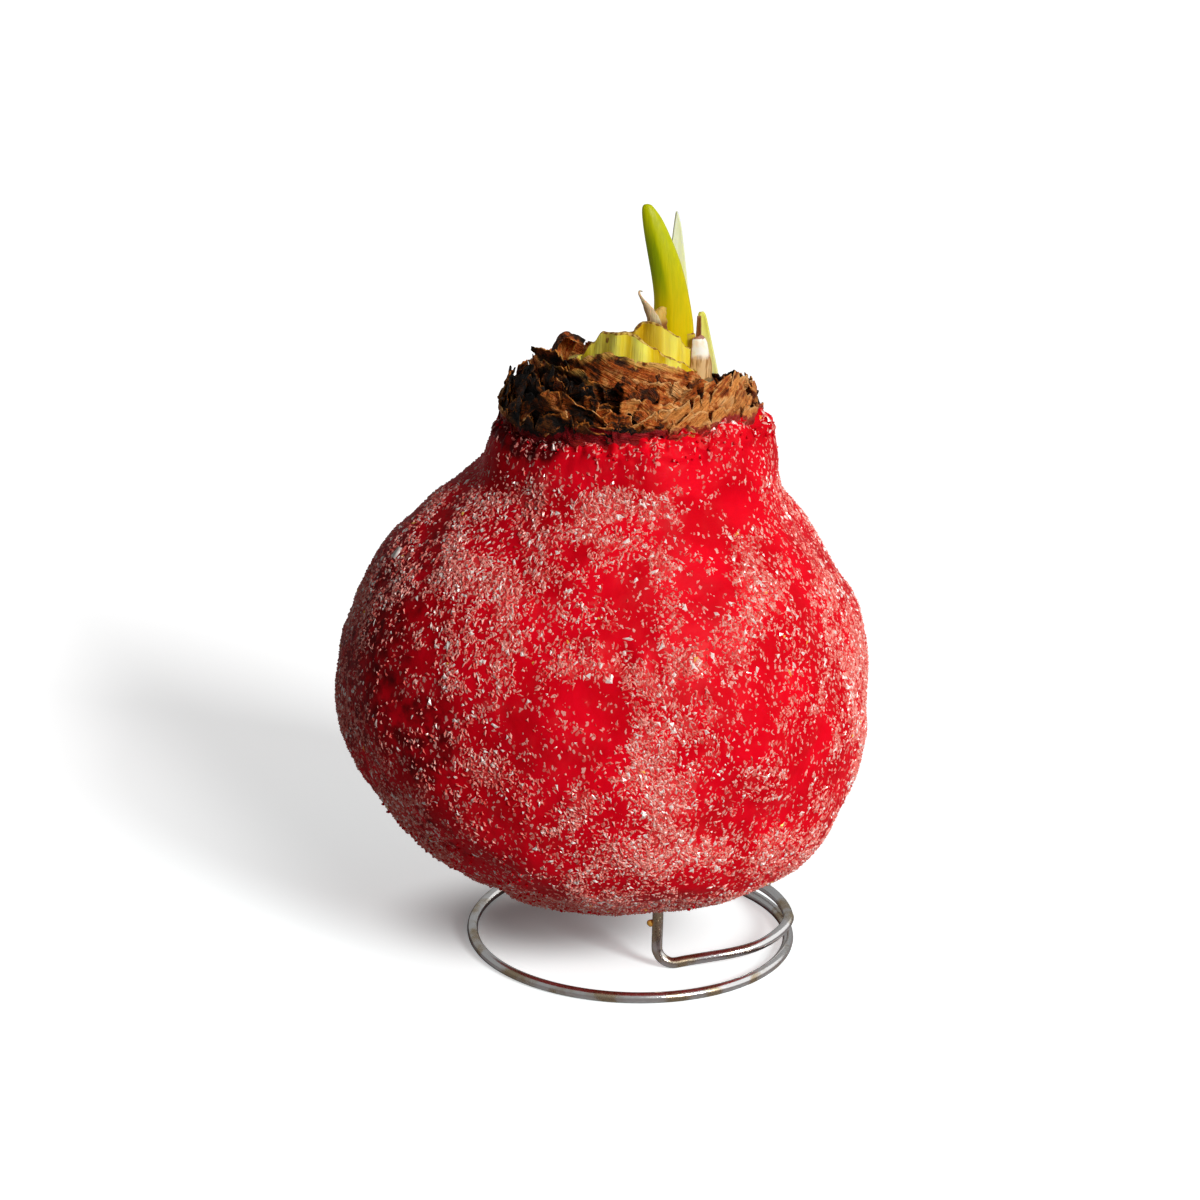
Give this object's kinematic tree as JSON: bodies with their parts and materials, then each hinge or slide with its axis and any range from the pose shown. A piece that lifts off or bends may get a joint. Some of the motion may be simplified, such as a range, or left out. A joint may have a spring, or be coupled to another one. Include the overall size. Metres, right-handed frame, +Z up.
{
  "type": "waxed amaryllis bulb on a wire stand",
  "caption": "Amaryllis bulb dipped in glittery red wax, with dry brown skins, cut scales and green shoots at its neck, standing on a spiked ring of bent steel wire.",
  "frame": {"origin": "on the surface it stands on, under the middle of the bulb's belly", "axes": "+Z up along the bulb, +X to the right and +Y away as seen from the front, where the cut scales stand tallest"},
  "size_m": [0.0966, 0.0937, 0.141],
  "materials": {
    "steel_wire": "polished",
    "red_wax": "satin",
    "bulb_flesh": "satin",
    "dark_dry_skin": "matte",
    "brown_dry_skin": "matte",
    "fleshy_scale": "satin",
    "white_scale": "satin",
    "papery_membrane": "matte",
    "green_shoot": "satin",
    "pale_leaf": "satin",
    "yellow_leaf": "satin"
  },
  "bodies": {
    "root": {"wire_stand": "steel_wire", "wax_coat": "red_wax", "bulb_flesh": "bulb_flesh", "outer_dry_skins": "dark_dry_skin", "inner_dry_skins": "brown_dry_skin", "front_scale": "fleshy_scale", "middle_scale": "fleshy_scale", "right_scale": "white_scale", "membrane_curl": "papery_membrane", "main_shoot": "green_shoot", "back_leaf": "pale_leaf", "side_leaf": "yellow_leaf", "brown_sliver": "brown_dry_skin"}
  },
  "joints": []
}
